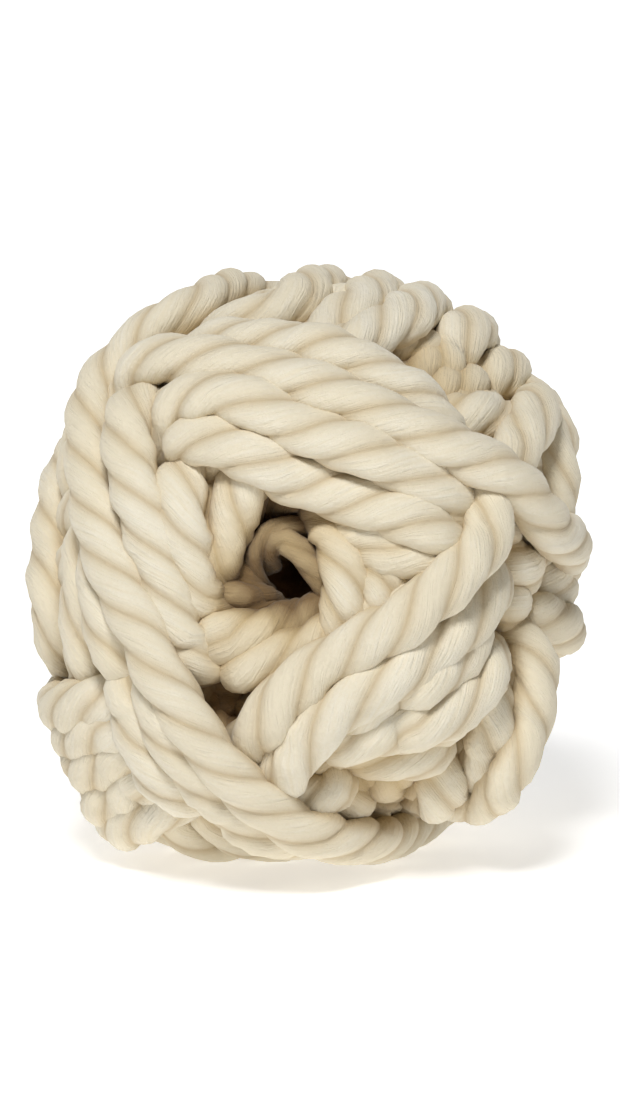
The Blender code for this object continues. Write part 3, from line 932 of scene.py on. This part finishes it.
class TWINE_OT_stage(bpy.types.Operator):
    """Set up the pale floor, the soft lights and the camera"""
    bl_idname = "twine.stage"
    bl_label = "Stage"

    def execute(self, context):
        scene = context.scene
        stage, sizes = scene.twine_stage, scene.twine_sizes
        lines = winding(sizes, stage.view_distance)
        middle = Vector(set_down_shift(lines, sizes))
        toward = Vector((0.0, -math.cos(sizes.eye_tilt), math.sin(sizes.eye_tilt)))
        upward = Vector((0.0, math.sin(sizes.eye_tilt), math.cos(sizes.eye_tilt)))
        camera_data = bpy.data.cameras.new("camera")
        camera_data.sensor_fit = "HORIZONTAL"
        camera_data.lens = camera_data.sensor_width * stage.view_distance / stage.frame_width
        camera_data.clip_start = 0.01
        camera = bpy.data.objects.new("camera", camera_data)
        scene.collection.objects.link(camera)
        place = middle + toward * stage.view_distance + upward * stage.view_lift
        camera.matrix_world = (Matrix.Translation(place)
                               @ toward.to_track_quat("Z", "Y").to_matrix().to_4x4())
        scene.camera = camera
        self.add_floor(stage)
        self.add_light("key", middle + Vector(KEY_PLACE), middle, KEY_SIZE, stage.key_power)
        world = bpy.data.worlds.new("studio")
        world.use_nodes = True
        background = world.node_tree.nodes["Background"]
        background.inputs["Color"].default_value = (1.0, 1.0, 1.0, 1.0)
        background.inputs["Strength"].default_value = stage.sky_strength
        scene.world = world
        scene.view_settings.view_transform = "Standard"
        return {"FINISHED"}

    def add_floor(self, stage):
        """Adds a floor that bends up into a wall behind the ball."""
        bend = np.radians(np.linspace(0, 90, BEND_STEPS))
        depth = np.concatenate(((-FLOOR_REACH, NEAR_FLOOR, FAR_FLOOR), WALL_PLACE + BEND_RADIUS * np.sin(bend),
                                (WALL_PLACE + BEND_RADIUS,)))
        height = np.concatenate(((0.0, 0.0, 0.0), BEND_RADIUS * (1 - np.cos(bend)), (FLOOR_REACH,)))
        corners = []
        for back, up in zip(depth, height):
            corners += [(-FLOOR_REACH, back, up), (FLOOR_REACH, back, up)]
        faces = [(2 * row, 2 * row + 1, 2 * row + 3, 2 * row + 2) for row in range(len(depth) - 1)]
        mesh = bpy.data.meshes.new("floor")
        mesh.from_pydata(corners, [], faces)
        mesh.shade_smooth()
        far = mesh.attributes.new("far", "FLOAT", "POINT")
        far.data.foreach_set("value", np.repeat(depth > NEAR_FLOOR, 2).astype(np.float32))
        material = bpy.data.materials.new("pale_floor")
        board = Board(material)
        share = board.add("ShaderNodeAttribute", {"attribute_name": "far"}, {}, "Fac")
        board.plug(board.shader.inputs["Base Color"], (0.94, 0.94, 0.94, 1.0))
        board.plug(board.shader.inputs["Roughness"], 0.9)
        board.plug(board.shader.inputs["Specular IOR Level"], 0.1)
        board.plug(board.shader.inputs["Emission Color"],
                   board.mixed(share, rgba((stage.floor_glow,) * 3), rgba((stage.wall_glow,) * 3)))
        board.plug(board.shader.inputs["Emission Strength"], 1.0)
        mesh.materials.append(material)
        floor = bpy.data.objects.new("floor", mesh)
        bpy.context.scene.collection.objects.link(floor)

    def add_light(self, name, place, target, size, power):
        data = bpy.data.lights.new(name, "AREA")
        data.shape = "DISK"
        data.size = size
        data.energy = power
        light = bpy.data.objects.new(name, data)
        light.location = place
        light.rotation_euler = (place - target).to_track_quat("Z", "Y").to_euler()
        bpy.context.scene.collection.objects.link(light)


class TWINE_PT_panel(bpy.types.Panel):
    """The steps that make the ball"""
    bl_idname = "TWINE_PT_panel"
    bl_label = "Twine ball"
    bl_space_type = "VIEW_3D"
    bl_region_type = "UI"
    bl_category = "Twine"

    def draw(self, context):
        for group in (context.scene.twine_sizes, context.scene.twine_look, context.scene.twine_stage):
            box = self.layout.box()
            for name in group.__annotations__:
                box.prop(group, name)
        for step in STEPS:
            self.layout.operator(step.bl_idname)


STEPS = (TWINE_OT_inner_mass, TWINE_OT_band_turns, TWINE_OT_front_turns, TWINE_OT_eye_turns, TWINE_OT_stage)
GROUPS = {"twine_sizes": TwineBallSizes, "twine_look": TwineBallLook, "twine_stage": TwineBallStage}
CLASSES = (*GROUPS.values(), *STEPS, TWINE_PT_panel)


def register():
    for item in CLASSES:
        bpy.utils.register_class(item)
    for name, group in GROUPS.items():
        setattr(bpy.types.Scene, name, PointerProperty(type=group))


def unregister():
    for name in GROUPS:
        delattr(bpy.types.Scene, name)
    for item in reversed(CLASSES):
        bpy.utils.unregister_class(item)


def main():
    register()
    bpy.ops.twine.inner_mass()
    bpy.ops.twine.band_turns()
    bpy.ops.twine.front_turns()
    bpy.ops.twine.eye_turns()
    bpy.ops.twine.stage()


if __name__ == "__main__":
    main()
